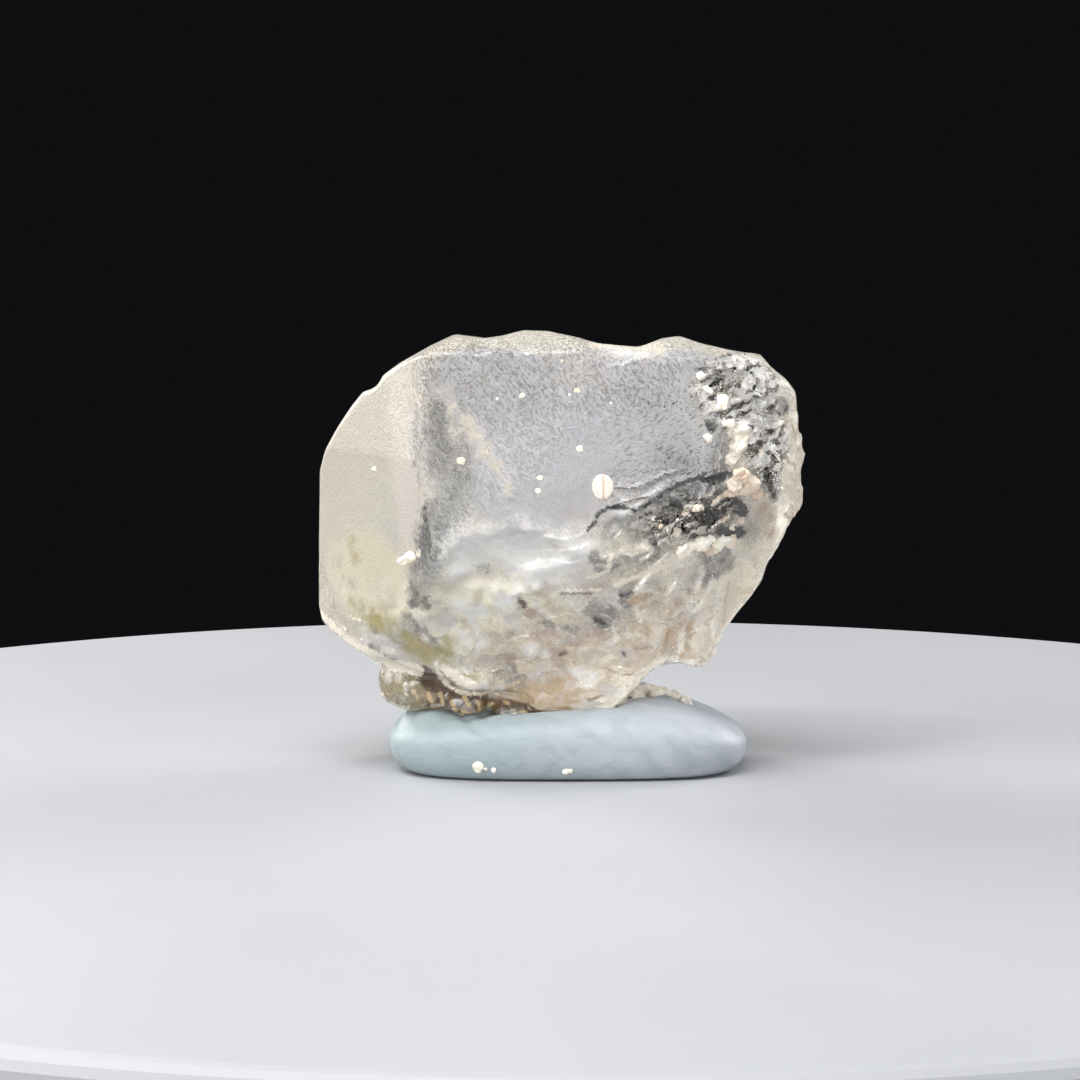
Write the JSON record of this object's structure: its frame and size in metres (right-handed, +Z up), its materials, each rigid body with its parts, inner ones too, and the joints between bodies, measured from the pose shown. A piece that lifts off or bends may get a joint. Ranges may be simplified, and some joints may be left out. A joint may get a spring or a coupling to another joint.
{
  "type": "phenakite crystal on display putty",
  "caption": "Pale straw phenakite crystal with frosted flat faces, a pitted corner and a stained underside, held upright in an oval pat of pale blue display putty.",
  "frame": {"origin": "centre of the putty's flat underside", "axes": "+Z up, +X along the pat to the right of a viewer of the show face, -Y towards that viewer"},
  "size_m": [0.0195, 0.0119, 0.0176],
  "materials": {
    "phenakite": "transparent pale straw crystal with frosted, etched faces and cream clay in its pits",
    "putty": "soft satin pale blue putty"
  },
  "bodies": {
    "root": {"phenakite_crystal": "phenakite", "putty_pat": "putty"}
  },
  "joints": []
}
